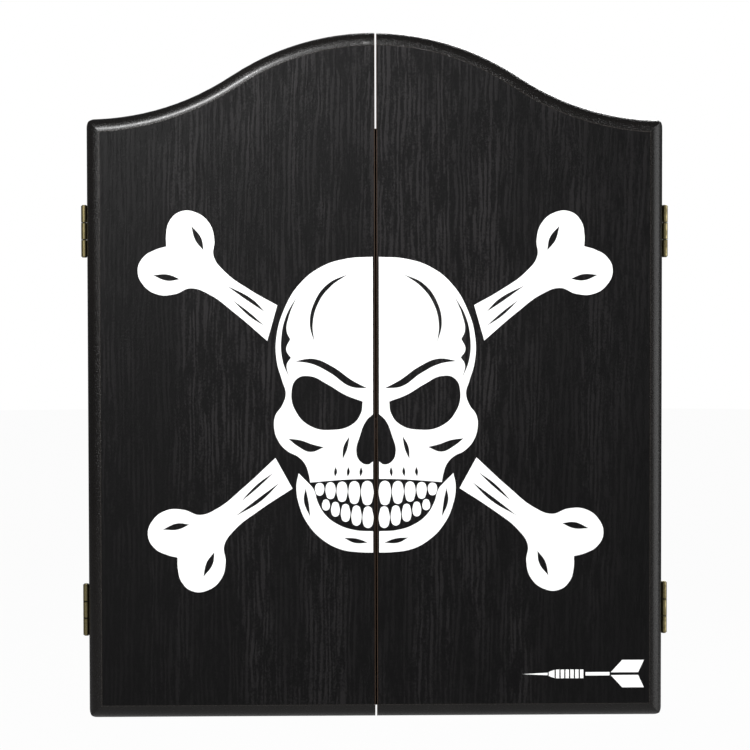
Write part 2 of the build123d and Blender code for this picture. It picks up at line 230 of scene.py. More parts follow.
# %% [markdown]
# ## Groups and materials
# A pattern that several finishes share is a node group with named sockets, built once. A material
# starts from its own shader. What is the same all over a surface is set on the shader itself, and
# only what changes from place to place comes through nodes. Patterns read Object coordinates, so
# they stay put on a board whatever its door does.

# %% Group and material helpers
FLOAT = "NodeSocketFloat"
VECTOR = "NodeSocketVector"


def node_group(name, inputs, outputs):
    """An empty group with named sockets, and its input and output nodes."""
    group = bpy.data.node_groups.new(name, "ShaderNodeTree")
    for label, kind, value in inputs:
        socket = group.interface.new_socket(label, in_out="INPUT", socket_type=kind)
        if value is not None:
            socket.default_value = value
    for label, kind in outputs:
        group.interface.new_socket(label, in_out="OUTPUT", socket_type=kind)
    return group, group.nodes.new("NodeGroupInput"), group.nodes.new("NodeGroupOutput")


def place_group(tree, group, **sockets):
    """The outputs of a placed group, with underscores in the socket names read as spaces."""
    named = {name.replace("_", " "): value for name, value in sockets.items()}
    return add_node(tree, "ShaderNodeGroup", named, node_tree=group).outputs


def new_material(name, roughness=0.5, metallic=0.0, specular=0.5):
    """A material, its node tree, its shader, and the coordinates that patterns follow."""
    material = bpy.data.materials.new(name)
    material.use_nodes = True
    tree = material.node_tree
    shader = tree.nodes["Principled BSDF"]
    shader.inputs["Roughness"].default_value = roughness
    shader.inputs["Metallic"].default_value = metallic
    shader.inputs["Specular IOR Level"].default_value = specular
    where = tree.nodes.new("ShaderNodeTexCoord").outputs["Object"]
    print("material:", name)
    return material, tree, shader, where


def bump_into(tree, shader, height, strength, distance):
    """Let a height pattern disturb the shader's surface."""
    bump = add_node(tree, "ShaderNodeBump", {"Height": height, "Strength": strength, "Distance": distance})
    tree.links.new(bump.outputs[0], shader.inputs["Normal"])


# %% [markdown]
# ## Ash grain: sway and rings
# Ash grain runs up a board, but never quite straight. The group takes the coordinates of the
# surface and pushes them sideways by a slow noise, so that what is drawn on them sways. Then come
# the growth rings. Rings of a long stretched sphere, cut by a flat board, give the tall arches of
# the real thing, and a phase that drifts makes wide rings and narrow ones.

# %% Ash grain: sway and rings
ash, given, result = node_group(
    "ash_grain",
    [("Vector", VECTOR, None), ("Ring Scale", FLOAT, 40.0), ("Wander", FLOAT, 9.0), ("Sway", FLOAT, 0.004)],
    [("Figure", FLOAT), ("Pores", FLOAT), ("Height", FLOAT)],
)
straight = given.outputs["Vector"]
sway = noise(ash, stretched(ash, straight, (70.0, 70.0, 26.0)), 1.0, 2.0)
sway = times(ash, calculate(ash, "SUBTRACT", sway, 0.5), given.outputs["Sway"])
sideways = add_node(ash, "ShaderNodeCombineXYZ", {"X": sway, "Y": sway}).outputs[0]
board = add_node(ash, "ShaderNodeVectorMath", {0: straight, 1: sideways}, operation="ADD").outputs[0]
slow_drift = noise(ash, stretched(ash, board, (9.0, 9.0, 2.2)), 1.0, 2.0)
rings = add_node(
    ash,
    "ShaderNodeTexWave",
    {
        "Vector": stretched(ash, board, (1.0, 1.0, 0.075)),
        "Scale": given.outputs["Ring Scale"],
        "Distortion": given.outputs["Wander"],
        "Detail": 3.0,
        "Detail Scale": 1.3,
        "Phase Offset": times(ash, slow_drift, 16.0),
    },
    wave_type="RINGS",
    rings_direction="SPHERICAL",
).outputs["Fac"]
print("group:", ash.name)

# %% [markdown]
# ## Ash grain: fibres and pores
# The rings come and go in long streaks. Fibres and a fine mottle break them up, and one contrast
# curve turns the sum into pale late wood. Short dark pores lie in the early wood, so they are
# strongest where the rings are weak. Late wood stands up a little, and pores sink in.

# %% Ash grain: fibres and pores
streaks = noise(ash, stretched(ash, board, (110.0, 110.0, 19.0)), 1.0, 2.0, 0.6)
fibres = noise(ash, stretched(ash, board, (430.0, 430.0, 62.0)), 1.0, 4.0, 0.75)
mottle = noise(ash, straight, 620.0, 2.0, 0.6)
pore_noise = noise(ash, stretched(ash, board, (1500.0, 1500.0, 70.0)), 1.0, 2.0, 0.6)
shown_rings = times(ash, fade(ash, rings, 0.1, 0.9), fade(ash, streaks, 0.34, 0.62))
mixed = calculate(ash, "ADD", times(ash, shown_rings, 0.36), fibres)
mixed = calculate(ash, "ADD", mixed, times(ash, mottle, 0.75))
late_wood = fade(ash, mixed, 0.82, 1.26)
pores = times(ash, fade(ash, pore_noise, 0.52, 0.66), fade(ash, rings, 0.7, 0.2, 0.2, 1.0))
ash.links.new(late_wood, result.inputs["Figure"])
ash.links.new(pores, result.inputs["Pores"])
ash.links.new(calculate(ash, "SUBTRACT", late_wood, pores), result.inputs["Height"])
print("nodes in", ash.name + ":", len(ash.nodes))

# %% [markdown]
# ## Handling marks, used by every finish
# No surface stays even: hands polish some places and dull others, and fine dust settles. One
# group gives a slow patchy mask, a fine speckle and thin scratches, and each material decides
# what they do.

# %% Handling marks group
handling, given, result = node_group(
    "handling_marks",
    [("Vector", VECTOR, None), ("Patch Scale", FLOAT, 9.0), ("Speck Scale", FLOAT, 900.0)],
    [("Patches", FLOAT), ("Specks", FLOAT), ("Scratches", FLOAT)],
)
surface = given.outputs["Vector"]
patch_noise = noise(handling, surface, given.outputs["Patch Scale"], 4.0, 0.6)
handling.links.new(fade(handling, patch_noise, 0.3, 0.72), result.inputs["Patches"])
speck_noise = noise(handling, surface, given.outputs["Speck Scale"], 2.0, 0.6)
handling.links.new(fade(handling, speck_noise, 0.35, 0.7), result.inputs["Specks"])
scratch_noise = noise(handling, stretched(handling, surface, (60.0, 60.0, 900.0)), 1.0, 3.0)
handling.links.new(fade(handling, scratch_noise, 0.58, 0.66), result.inputs["Scratches"])
print("group:", handling.name)

# %% [markdown]
# ## Black ash doors: telling the zones apart
# Each door is a fibreboard panel under black foil. The flat faces carry the ash grain, and the
# rounded edge is smooth and a shade browner. Where the router ended, a pale hairline is painted
# as a painted highlight, the lamps' glint on that narrow step, and the board's brown heart shows
# through along the meeting edge. Depth and the distance from the middle tell these zones apart,
# so one material covers both doors.

# %% Door foil: zones
foil, tree, shader, where = new_material("black_ash_foil", roughness=0.5, specular=0.15)
place = coordinates(tree, where)
side_distance = calculate(tree, "ABSOLUTE", place["X"])
# A face's grain is whole down to the first depth under it, and gone at the second
GRAIN_WHOLE, GRAIN_GONE = 0.1 * MM, 0.4 * MM
on_field = fade(tree, place["Y"], DOOR_FRONT + GRAIN_GONE, DOOR_FRONT + GRAIN_WHOLE)
on_back = fade(tree, place["Y"], DOOR_BACK - GRAIN_GONE, DOOR_BACK - GRAIN_WHOLE)
on_flat = calculate(tree, "MAXIMUM", on_field, on_back)
on_ledge = fade(tree, distance_from(tree, place["Y"], ROUNDED_START), 0.05 * MM, 0.01 * MM)
on_arris = fade(tree, side_distance, MEETING_EDGE + 0.55 * MM, MEETING_EDGE + 0.15 * MM)

# %% [markdown]
# ## Black ash doors: colour
# The doors are cut from one sheet, so the grain runs on from one to the other. It is liveliest in
# the upper middle and quieter near the foot and the outer sides, and it comes and goes in broad
# dark flames. The differences between the blacks are tiny, but they are what makes it wood.

# %% Door foil: colour
SHEET_SHIFT = (-0.45, 0.1, 1.35)
DOOR_RINGS = 74.0
GRAIN_DARK = (0.0004, 0.0003, 0.0004, 1)
GRAIN_PALE = (0.0172, 0.0159, 0.0165, 1)
PORE_BLACK = (0.0006, 0.0005, 0.0006, 1)
EDGE_DARK = (0.0044, 0.0039, 0.0036, 1)
EDGE_PALE = (0.0074, 0.0065, 0.006, 1)
# Painted highlight: the pale colour of the hairline where the rounded edge starts
PAINTED_HIGHLIGHT_LINE = (0.036, 0.031, 0.027, 1)
BOARD_BROWN = (0.075, 0.045, 0.028, 1)
sheet = stretched(tree, where, (1, 1, 1), SHEET_SHIFT)
grain = place_group(tree, ash, Vector=sheet, Ring_Scale=DOOR_RINGS)
marks = place_group(tree, handling, Vector=where, Patch_Scale=6.0, Speck_Scale=1100.0)
lively = fade(tree, place["Z"], -0.12, 0.12, 0.58, 1.0)
flame_noise = noise(tree, stretched(tree, where, (26, 26, 3.5)), 1.0, 3.0)
lively = times(tree, lively, fade(tree, flame_noise, 0.38, 0.62, 0.4, 1.15))
lively = times(tree, lively, fade(tree, side_distance, 0.23, 0.11, 0.42, 1.0))
shade = times(tree, grain["Figure"], lively)
flat_colour = blend_colour(tree, shade, GRAIN_DARK, GRAIN_PALE)
flat_colour = blend_colour(tree, grain["Pores"], flat_colour, PORE_BLACK)
edge_colour = blend_colour(tree, marks["Patches"], EDGE_DARK, EDGE_PALE)
colour = blend_colour(tree, on_flat, edge_colour, flat_colour)
# Painted highlight: a speckled pale line where the rounded edge starts, standing in for the lamps' glint on
# the step
painted_highlight = times(tree, on_ledge, fade(tree, marks["Specks"], 0.0, 1.0, 0.1, 0.65))
colour = blend_colour(tree, painted_highlight, colour, PAINTED_HIGHLIGHT_LINE)
colour = blend_colour(tree, times(tree, on_arris, 0.8), colour, BOARD_BROWN)
tree.links.new(colour, shader.inputs["Base Color"])
print("sheet of ash shifted by", SHEET_SHIFT, "m")

# %% [markdown]
# ## Black ash doors: gloss and relief
# The rounded edge is satin, with a thin coat that catches the lamps, and its skin is slightly
# pebbled, so the highlight along the arch sparkles. The flat faces are duller: pale figure is a
# little glossier than the wood around it, and pores are matt and sunken.

# %% Door foil: gloss and relief
tree.links.new(fade(tree, on_flat, 0.0, 1.0, 0.36, 0.0), shader.inputs["Coat Weight"])
shader.inputs["Coat Roughness"].default_value = 0.27
flat_gloss = fade(tree, marks["Patches"], 0.0, 1.0, 0.5, 0.55)
flat_gloss = calculate(tree, "SUBTRACT", flat_gloss, times(tree, shade, 0.1))
flat_gloss = calculate(tree, "ADD", flat_gloss, times(tree, grain["Pores"], 0.12))
edge_gloss = fade(tree, marks["Specks"], 0.0, 1.0, 0.18, 0.34)
gloss = add_node(tree, "ShaderNodeMix", {0: on_flat, 2: edge_gloss, 3: flat_gloss}, data_type="FLOAT")
tree.links.new(gloss.outputs[0], shader.inputs["Roughness"])
grain_height = times(tree, grain["Height"], on_flat)
skin = times(tree, marks["Specks"], fade(tree, on_flat, 0.0, 1.0, 2.2, 0.15))
bump_into(tree, shader, calculate(tree, "ADD", grain_height, skin), 0.5, 0.12 * MM)
print("nodes in", foil.name + ":", len(tree.nodes))

# %% [markdown]
# ## Black box foil
# The box wears the same foil in a plainer, duller cut, with its grain running the long way of
# each board. A Mapping node turns the pattern for the boards that lie down, so the side boards
# and the top and bottom boards have a material each, made by one function.


# %% Box foil
def grained_black(name, turn):
    """Black foil with a quiet grain, which runs up the board or is turned to run along it."""
    material, tree, shader, where = new_material(name, roughness=0.5, specular=0.2)
    # The shift puts the heart of the tree behind the box, so that the rings cross every board
    sheet = turned(tree, where, turn, (0, 0.4, 0))
    grain = place_group(tree, ash, Vector=sheet, Ring_Scale=66.0)
    marks = place_group(tree, handling, Vector=where, Patch_Scale=7.0)
    shade = times(tree, grain["Figure"], fade(tree, marks["Patches"], 0.0, 1.0, 0.5, 1.0))
    colour = blend_colour(tree, shade, (0.0035, 0.0032, 0.0034, 1), (0.021, 0.0195, 0.02, 1))
    colour = blend_colour(tree, grain["Pores"], colour, (0.0012, 0.001, 0.001, 1))
    tree.links.new(colour, shader.inputs["Base Color"])
    tree.links.new(fade(tree, marks["Patches"], 0.0, 1.0, 0.62, 0.72), shader.inputs["Roughness"])
    skin = times(tree, marks["Specks"], 0.2)
    bump_into(tree, shader, calculate(tree, "ADD", grain["Height"], skin), 0.5, 0.12 * MM)
    return material


box_foil = grained_black("black_box_foil", 0)
box_foil_along = grained_black("black_box_foil_along", radians(90))

# %% [markdown]
# ## Black moulding
# The frames and chalk ledges inside the doors are satin black wood. The paint hides all of its
# grain but the pores, where pale dust settles, and hands have rubbed it paler in patches.

# %% Moulding
moulding, tree, shader, where = new_material("black_moulding", roughness=0.42)
marks = place_group(tree, handling, Vector=where, Patch_Scale=7.0)
grain = place_group(tree, ash, Vector=where, Ring_Scale=20.0, Wander=1.0)
shade = calculate(tree, "ADD", times(tree, marks["Patches"], 0.6), times(tree, grain["Pores"], 0.4))
satin_black = blend_colour(tree, shade, (0.012, 0.011, 0.011, 1), (0.028, 0.025, 0.023, 1))
tree.links.new(satin_black, shader.inputs["Base Color"])
tree.links.new(fade(tree, marks["Patches"], 0.0, 1.0, 0.37, 0.49), shader.inputs["Roughness"])
skin = calculate(tree, "SUBTRACT", times(tree, marks["Specks"], 0.3), grain["Pores"])
bump_into(tree, shader, skin, 0.35, 0.08 * MM)

# %% [markdown]
# ## Rear board
# The rear board is hardboard. Its inner face is painted black, and its bare back is brown fibre,
# printed with the wire mesh that it was pressed on. Depth tells the two faces apart, and two
# crossed sets of waves make the mesh.

# %% Rear hardboard
rear_board, tree, shader, where = new_material("rear_hardboard", roughness=0.7)
rear_inner_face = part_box("back_panel")[0].y
MESH_PITCH = 1.8 * MM
# A wave texture repeats 20 times its scale, in radians, over one metre
mesh_scale = 2 * pi / (20 * MESH_PITCH)
wires = [
    add_node(tree, "ShaderNodeTexWave", {"Vector": where, "Scale": mesh_scale}, bands_direction=way)
    for way in ("X", "Z")
]
mesh_print = times(tree, *[wire.outputs["Fac"] for wire in wires])
marks = place_group(tree, handling, Vector=where, Patch_Scale=14.0, Speck_Scale=520.0)
felted = noise(tree, stretched(tree, where, (700.0, 700.0, 260.0)), 1.0, 4.0, 0.7)
brown = blend_colour(tree, felted, (0.115, 0.062, 0.032, 1), (0.25, 0.145, 0.078, 1))
brown = blend_colour(tree, times(tree, marks["Patches"], 0.6), brown, (0.13, 0.072, 0.038, 1))
brown = blend_colour(tree, times(tree, mesh_print, 0.45), brown, (0.07, 0.038, 0.02, 1))
black = blend_colour(tree, marks["Patches"], (0.012, 0.0115, 0.0115, 1), (0.022, 0.021, 0.02, 1))
bare_side = fade(tree, coordinates(tree, where)["Y"], rear_inner_face + MM, rear_inner_face + 2 * MM)
tree.links.new(blend_colour(tree, bare_side, black, brown), shader.inputs["Base Color"])
pressed = calculate(tree, "SUBTRACT", felted, times(tree, mesh_print, bare_side))
bump_into(tree, shader, pressed, 0.5, 0.1 * MM)

# %% [markdown]
# ## Chalk board
# The writing boards are matt slate-black paint. Chalk has been wiped off them many times, which
# leaves pale swirls. Noise that is distorted by itself makes strokes like those of a cloth.

# %% Chalk board paint
slate, tree, shader, where = new_material("slate_paint", roughness=0.75, specular=0.3)
marks = place_group(tree, handling, Vector=where, Patch_Scale=12.0, Speck_Scale=1400.0)
strokes = {"Vector": stretched(tree, where, (16, 16, 7)), "Scale": 1.0, "Detail": 6.0, "Distortion": 2.2}
swirl = add_node(tree, "ShaderNodeTexNoise", strokes).outputs[0]
wiped = times(tree, fade(tree, swirl, 0.42, 0.78), fade(tree, marks["Patches"], 0.0, 1.0, 0.25, 0.9))
chalky = blend_colour(tree, times(tree, wiped, 0.5), (0.011, 0.016, 0.014, 1), (0.16, 0.17, 0.165, 1))
tree.links.new(chalky, shader.inputs["Base Color"])
bump_into(tree, shader, marks["Specks"], 0.4, 0.05 * MM)

# %% [markdown]
# ## Beech
# The dart racks and the dowels are beech: pinkish brown, with a faint figure and short flecks.
# The ash group serves again, turned to run along the rack and given paler colours.

# %% Beech
beech, tree, shader, where = new_material("lacquered_beech", roughness=0.38)
grain = place_group(tree, ash, Vector=turned(tree, where, radians(90)), Ring_Scale=30.0, Wander=3.0)
marks = place_group(tree, handling, Vector=where, Patch_Scale=26.0)
wood = blend_colour(tree, grain["Figure"], (0.56, 0.34, 0.17, 1), (0.42, 0.235, 0.11, 1))
wood = blend_colour(tree, times(tree, grain["Pores"], 0.6), wood, (0.2, 0.1, 0.045, 1))
wood = blend_colour(tree, times(tree, marks["Patches"], 0.25), wood, (0.62, 0.39, 0.21, 1))
tree.links.new(wood, shader.inputs["Base Color"])
bump_into(tree, shader, grain["Height"], 0.2, 0.06 * MM)

# %% [markdown]
# ## Metals
# The hinges are steel with a thin brass wash that has gone olive and dark in patches. The
# bracket, plates and screws are zinc plated, a pale grey with cloudy crystals, and the magnets
# are dark ferrite. A metal shows its surroundings, so most of its character comes from a
# roughness that changes from place to place.


# %% Metal finishes
def metal(name, bright, dull, smooth, rough, patch_scale, tarnish):
    """Plated metal between two colours and two roughnesses, with fine scratches."""
    material, tree, shader, where = new_material(name, metallic=1.0)
    marks = place_group(tree, handling, Vector=where, Patch_Scale=patch_scale, Speck_Scale=1600.0)
    dirty = times(tree, marks["Patches"], tarnish)
    dirty = calculate(tree, "ADD", dirty, times(tree, marks["Specks"], 0.2), clamp=True)
    colour = blend_colour(tree, dirty, bright, dull)
    tree.links.new(colour, shader.inputs["Base Color"])
    tree.links.new(fade(tree, dirty, 0.0, 1.0, smooth, rough), shader.inputs["Roughness"])
    relief = calculate(tree, "SUBTRACT", marks["Specks"], marks["Scratches"])
    bump_into(tree, shader, relief, 0.25, 0.04 * MM)
    return material, tree, shader, where, colour


BRASS_BRIGHT, BRASS_DULL = (0.36, 0.31, 0.155, 1), (0.1, 0.08, 0.036, 1)
ZINC_BRIGHT, ZINC_DULL = (0.62, 0.63, 0.65, 1), (0.34, 0.34, 0.35, 1)
FERRITE_BRIGHT, FERRITE_DULL = (0.1, 0.1, 0.105, 1), (0.05, 0.05, 0.05, 1)
zinc_plate = metal("zinc_plate", ZINC_BRIGHT, ZINC_DULL, 0.28, 0.46, 160.0, 0.6)[0]
ferrite = metal("ferrite", FERRITE_BRIGHT, FERRITE_DULL, 0.5, 0.7, 200.0, 0.8)[0]

# %% [markdown]
# ## Painted shade and dark joints on the hinge barrels
# The joints between the knuckles get thin dark lines, and the nook between each barrel and its
# leaf gets painted shade: a dark strip that stands in for the shadow there and for the black door
# that the brass reflects. Only the barrels stand further out than the doors do, so the distance
# from the middle finds them, and the hinges' own boxes say how high the joints are. The left and
# right hinges hang at the same heights, so the right ones speak for both.

# %% Aged brass
brass_finish = metal("aged_brass", BRASS_BRIGHT, BRASS_DULL, 0.3, 0.55, 130.0, 0.8)
aged_brass, tree, shader, where, clean = brass_finish
KNUCKLES = 3
# The black of the painted shade in the nook, and of the dark joint lines
SHADE_AND_JOINT_BLACK = (0.012, 0.01, 0.007, 1)
place = coordinates(tree, where)
outwards = calculate(tree, "ABSOLUTE", place["X"])
on_barrel = fade(tree, outwards, DOOR_OUTER, DOOR_OUTER + 0.5 * MM)
# Painted shade: the side of each barrel next to the door is darkened, standing in for the shadow in the nook
# and the black door mirrored in the brass
painted_shade_and_joint_lines = fade(tree, outwards, DOOR_OUTER + 2.5 * MM, DOOR_OUTER + 1.5 * MM)
# Thin dark lines at the joints between the knuckles
for hinge in ("right_upper_hinge_door_leaf", "right_lower_hinge_door_leaf"):
    low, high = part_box(hinge)
    from_middle = distance_from(tree, place["Z"], (low.z + high.z) / 2)
    from_joint = distance_from(tree, from_middle, (high.z - low.z) / KNUCKLES / 2)
    painted_shade_and_joint_lines = calculate(tree, "MAXIMUM", painted_shade_and_joint_lines, fade(tree, from_joint, 1.0 * MM, 0.3 * MM))
painted_shade_and_joint_lines = times(tree, times(tree, painted_shade_and_joint_lines, on_barrel), 0.85)
tree.links.new(blend_colour(tree, painted_shade_and_joint_lines, clean, SHADE_AND_JOINT_BLACK), shader.inputs["Base Color"])
print("knuckles on a barrel:", KNUCKLES)

# %% [markdown]
# ## Moulded plastic
# The catch housings are black nylon with the faint orange-peel texture of a spark-eroded mould.

# %% Catch plastic
nylon, tree, shader, where = new_material("black_nylon", roughness=0.45)
marks = place_group(tree, handling, Vector=where, Patch_Scale=60.0, Speck_Scale=2400.0)
plastic = blend_colour(tree, marks["Patches"], (0.016, 0.016, 0.017, 1), (0.026, 0.026, 0.027, 1))
tree.links.new(plastic, shader.inputs["Base Color"])
bump_into(tree, shader, marks["Specks"], 0.5, 0.05 * MM)

# %% [markdown]
# ## Give every board and fitting its finish
# The cabinet's record names a finish for each piece, so a table from those names to our
# materials dresses all of them at once. Only the two lying boards of the box differ.

# %% Dress the pieces
finishes = {
    "door_foil": foil,
    "box_foil": box_foil,
    "back_board": rear_board,
    "black_moulding": moulding,
    "beech": beech,
    "chalk_board": slate,
    "hinge_brass": aged_brass,
    "zinc_steel": zinc_plate,
    "catch_plastic": nylon,
    "ferrite": ferrite,
}
lying_boards = ("top_panel", "bottom_panel")
for part in frame["record"]["subparts"]:
    mesh = nodes[part["node"]].data
    finish = box_foil_along if part["node"] in lying_boards else finishes[part["material_slot"]]
    mesh.materials.clear()
    mesh.materials.append(finish)

# %% [markdown]
# ## White print
# The picture on the doors is opaque white ink. It is thin enough that the grain beneath still
# shows as a faint relief, so it reads the same shifted sheet as the foil does.

# %% Print material
ink, tree, shader, where = new_material("white_ink", roughness=0.5, specular=0.35)
sheet = stretched(tree, where, (1, 1, 1), SHEET_SHIFT)
grain = place_group(tree, ash, Vector=sheet, Ring_Scale=DOOR_RINGS)
marks = place_group(tree, handling, Vector=where)
tint = times(tree, grain["Pores"], 0.5)
white = blend_colour(tree, tint, (0.94, 0.94, 0.935, 1), (0.84, 0.84, 0.83, 1))
tree.links.new(white, shader.inputs["Base Color"])
tree.links.new(fade(tree, marks["Patches"], 0.0, 1.0, 0.46, 0.58), shader.inputs["Roughness"])
bump_into(tree, shader, grain["Height"], 0.3, 0.08 * MM)

# %% [markdown]
# ## From outlines to flat shapes
# A print is a flat shape with holes. A two-dimensional Bezier curve is made for this: every
# closed outline inside another one becomes a hole. Each outline is a short list of points, in
# millimetres, and a point marked as a corner stays sharp while the others are smoothed.
# Outlines must not cross, or the filling goes wrong.

# %% Outline tools
INK_THICKNESS = 0.12 * MM
CORNER = True


def add_outline(curve, points):
    """Add one closed outline of (across, up) points, or (across, up, CORNER)."""
    spline = curve.splines.new("BEZIER")
    spline.bezier_points.add(len(points) - 1)
    spline.use_cyclic_u = True
    for knot, point in zip(spline.bezier_points, points):
        knot.co = (point[0] * MM, point[1] * MM, 0)
        handle = "VECTOR" if len(point) == 3 else "AUTO"
        knot.handle_left_type = handle
        knot.handle_right_type = handle


def mirrored(outlines):
    """The same outlines on the other door."""
    return [[(-point[0], *point[1:]) for point in points] for points in outlines]


# %% [markdown]
# ## From flat shapes to printed pieces
# We turn the finished curve into a mesh, stand it up and lay it on its board. A curve's front,
# back and rim come as separate faces, so the piece is welded into one closed shape and its faces
# are turned outwards, before it is given to the door that it rides on.

# %% Printed pieces
WELD_DISTANCE = 0.002 * MM
ON_FRONT, ON_BACK = -1, 1


def as_mesh(name, data):
    """The mesh of a curve or a text, which is then thrown away."""
    holder = bpy.data.objects.new(name, data)
    bpy.context.scene.collection.objects.link(holder)
    bpy.context.view_layer.update()
    mesh = bpy.data.meshes.new_from_object(holder.evaluated_get(bpy.context.evaluated_depsgraph_get()))
    bpy.data.objects.remove(holder)
    bpy.data.curves.remove(data)
    return mesh


def weld(shape, mesh):
    """Close a shape's seams, turn its faces outwards and store it in a mesh."""
    bmesh.ops.remove_doubles(shape, verts=shape.verts, dist=WELD_DISTANCE)
    bmesh.ops.recalc_face_normals(shape, faces=shape.faces)
    shape.to_mesh(mesh)
    shape.free()


def printed_piece(name, body, outlines, face_y, side, material):
    """A thin piece of ink on a board's face, with its side ON_FRONT or ON_BACK of the board."""
    curve = bpy.data.curves.new(name, "CURVE")
    curve.dimensions = "2D"
    curve.fill_mode = "BOTH"
    curve.extrude = INK_THICKNESS / 2
    curve.resolution_u = 10
    for points in outlines:
        add_outline(curve, points)
    mesh = as_mesh(name + "_outline", curve)
    stand_up = Matrix.Rotation(pi / 2, 4, "X")
    mesh.transform(Matrix.Translation((0, face_y + side * INK_THICKNESS / 2, 0)) @ stand_up)
    shape = bmesh.new()
    shape.from_mesh(mesh)
    weld(shape, mesh)
    mesh.materials.clear()
    mesh.materials.append(material)
    mesh.name = name
    piece = bpy.data.objects.new(name, mesh)
    bpy.context.scene.collection.objects.link(piece)
    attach(piece, body)
    print(name, "has", len(mesh.polygons), "faces")
    return piece


# %% [markdown]
# ## A skull: the head
# The picture is a plain skull and crossbones. It is symmetrical, so only its right half is drawn,
# and it stops short of the gap between the doors. The white head comes first. Its outline turns
# in to leave the nose open, and the eye socket lies inside it, which cuts a dark hole.

# %% Right half of the head
STRIP = 2.65
head = [
    (STRIP, 140, CORNER), (25, 138.5), (47, 131.5), (66, 116.5), (79.5, 94), (86, 70), (85.5, 49), (81, 33),
    (78, 22), (81, 12), (87, 3), (88, -8), (84.5, -19), (77, -27.5), (67, -33), (61.5, -39), (58.5, -47),
    (57, -55, CORNER), (45, -54), (24, -52.5), (STRIP, -52, CORNER), (STRIP, -37, CORNER), (7, -39.5),
    (13.5, -37), (17, -29), (14, -15), (8, -1), (STRIP, 4, CORNER),
]
eye_socket = [
    (11.5, 15, CORNER), (26, 20.5), (42, 30), (57, 37), (68, 35), (73, 23), (69, 6), (56, -6.5), (38, -9.5),
    (21, -5), (13, 5),
]
print("points in half a head:", len(head) + len(eye_socket))

# %% [markdown]
# ## A skull: lines in the face
# Dark lines give the flat head its bumps and hollows: a frowning brow, a notched temple, a long
# curve on the forehead, a cheekbone, the side of the nose, and short creases above the teeth.

# %% Dark lines in the face
brow = [
    (7.5, 26.5, CORNER), (20, 33), (38, 45.5), (54, 52), (70, 50, CORNER), (55, 47.5), (39, 39.5), (22, 28),
]
temple = [
    (68, 106, CORNER), (77.5, 89), (81.8, 69), (80.5, 50), (75, 36, CORNER), (77, 47), (73.5, 53, CORNER),
    (77.5, 60), (74, 69, CORNER), (77, 76), (75, 89),
]
forehead_line = [
    (24, 125, CORNER), (41, 117), (53, 101), (57, 82), (53, 66, CORNER), (54.5, 82), (50, 99.5), (39.5, 114),
]
cheek = [(45, -24.5, CORNER), (55, -22), (65, -18.5), (76, -17, CORNER), (67, -24), (57, -28.5)]
nose_side = [(23, -15, CORNER), (28, -24), (29, -35, CORNER), (25, -26)]
creases = [
    [(left, -41.5, CORNER), (left + 1.3, -46), (left + 0.6, -50, CORNER), (left - 1.2, -46)]
    for left in (13, 24, 35)
]
print("creases above the teeth:", len(creases))

# %% [markdown]
# ## A skull: jaw and teeth
# The jaw is a second white shape, which bends round the mouth. In the dark mouth stand two rows
# of teeth, which meet along a curve that turns up into a grin. Every tooth is the same rounded
# block, a little narrower than the one before it, so two functions draw them all.

# %% Jaw and teeth
TEETH_IN_A_ROW = 5
TOOTH_SHRINK = 0.6
TOOTH_GAP = 1.5
HALF_BITE_GAP = 1.2
jaw = [
    (STRIP, -97.5, CORNER), (18, -96.5), (33, -91.5), (44, -83), (50.5, -72), (54, -61), (60, -54, CORNER),
    (67, -47, CORNER), (69, -58), (66.5, -75), (58.5, -92), (46, -105), (31, -113), (15, -115.6),
    (STRIP, -116, CORNER),
]
chin = [(7, -107.5, CORNER), (16, -104), (28, -103, CORNER), (19, -107.5)]
jaw_shadow = [(61, -60, CORNER), (62.5, -71), (57, -85, CORNER), (58.5, -72)]


def bite_height(across):
    """The line where the two rows of teeth meet, which curves up into a grin."""
    return -75.5 + 0.0035 * across**2


def tooth(left, right, gum, tip):
    """A block with rounded corners, slightly narrower at its tip."""
    width = right - left
    rise = tip - gum
    return [
        (left + 0.25 * width, gum), (right - 0.25 * width, gum), (right, gum + 0.25 * rise),
        (right - 0.06 * width, tip - 0.2 * rise), (right - 0.25 * width, tip),
        (left + 0.25 * width, tip), (left + 0.06 * width, tip - 0.2 * rise), (left, gum + 0.25 * rise),
    ]


def row_of_teeth(first_width, gum_middle, gum_curve, side):
    """Teeth side by side, from the middle outwards: side is 1 above the bite and -1 below it."""
    row = []
    left = STRIP
    for count in range(TEETH_IN_A_ROW):
        right = left + first_width - TOOTH_SHRINK * count
        middle = (left + right) / 2
        gum = gum_middle + gum_curve * middle**2
        row.append(tooth(left, right, gum, bite_height(middle) + HALF_BITE_GAP * side))
        left = right + TOOTH_GAP
    return row


upper_teeth = row_of_teeth(10.0, -54.4, -0.0006, 1)
lower_teeth = row_of_teeth(8.8, -94.4, 0.0082, -1)
skull = [head, eye_socket, brow, temple, forehead_line, cheek, nose_side, jaw, chin, jaw_shadow]
skull += creases + upper_teeth + lower_teeth
print("outlines in half a skull:", len(skull))

# %% [markdown]
# ## The crossed bones
# A bone end is drawn lying along its own axis, with its shape measured back from the tip: a shaft
# that widens into two round knobs, with a few dark hollows. Then it is turned, once to point up
# and outwards and once to point down and outwards. Its start is cut on a slant, which leaves a
# dark margin around the skull.


